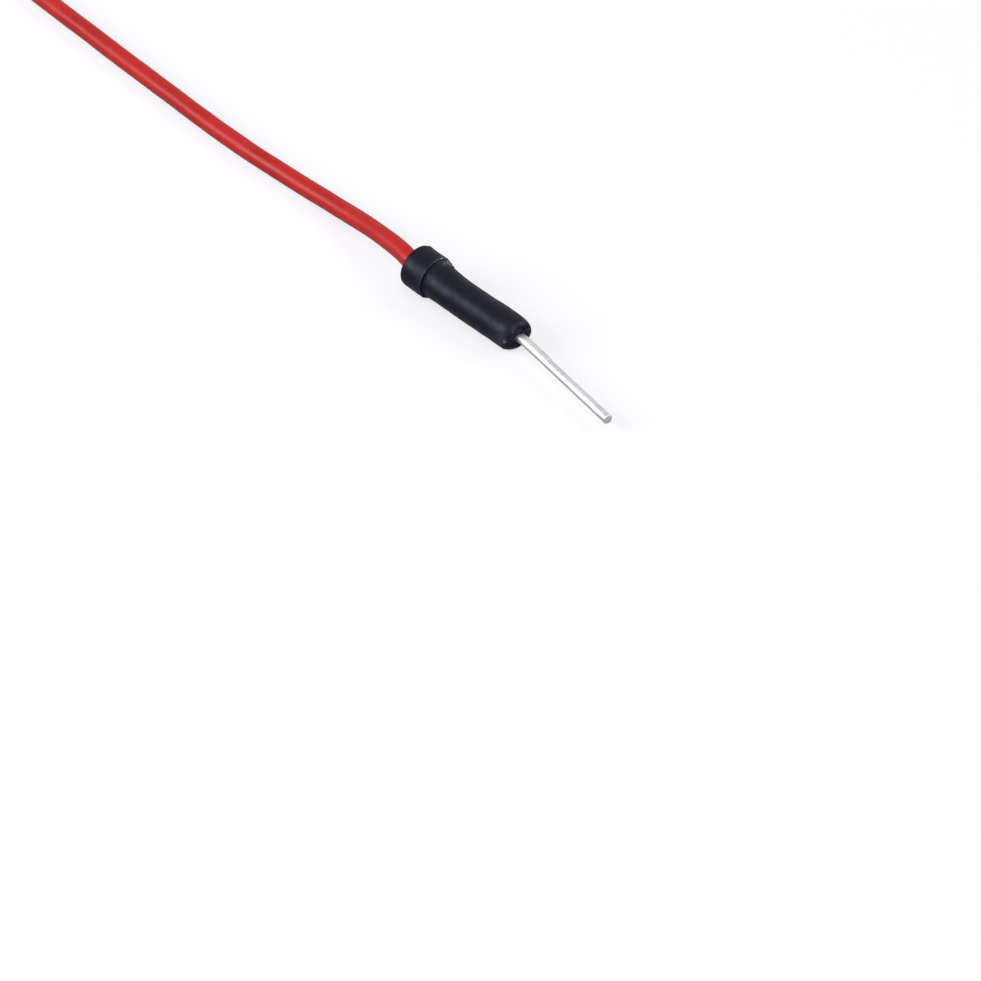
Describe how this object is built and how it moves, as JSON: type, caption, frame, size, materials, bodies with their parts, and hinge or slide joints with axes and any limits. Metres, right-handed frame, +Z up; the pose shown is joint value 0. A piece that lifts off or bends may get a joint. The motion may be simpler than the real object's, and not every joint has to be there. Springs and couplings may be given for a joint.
{
  "type": "breadboard jumper wire",
  "caption": "Short insulated hook-up wire with a tapered moulded plug and a straight round pin at each end, lying flat.",
  "frame": {"origin": "middle of the box round both plugs and pins, on the surface that the wire lies on", "axes": "+X towards the near plug, along that box's longest side, and +Z up, away from the surface"},
  "size_m": [0.1222, 0.0137, 0.0036],
  "materials": {
    "red_pvc": "extruded PVC, satin",
    "black_pvc": "injection-moulded PVC, satin",
    "tinned_brass": "bright tin plate on brass",
    "bare_copper": null
  },
  "bodies": {
    "root": {"near_housing": "black_pvc", "near_pin": "tinned_brass", "far_housing": "black_pvc", "far_pin": "tinned_brass", "insulated_wire": "red_pvc", "near_strand_1": "bare_copper", "near_strand_2": "bare_copper", "near_strand_3": "bare_copper", "near_strand_4": "bare_copper", "near_strand_5": "bare_copper", "near_strand_6": "bare_copper", "near_strand_7": "bare_copper", "far_strand_1": "bare_copper", "far_strand_2": "bare_copper", "far_strand_3": "bare_copper", "far_strand_4": "bare_copper", "far_strand_5": "bare_copper", "far_strand_6": "bare_copper", "far_strand_7": "bare_copper"}
  },
  "joints": []
}
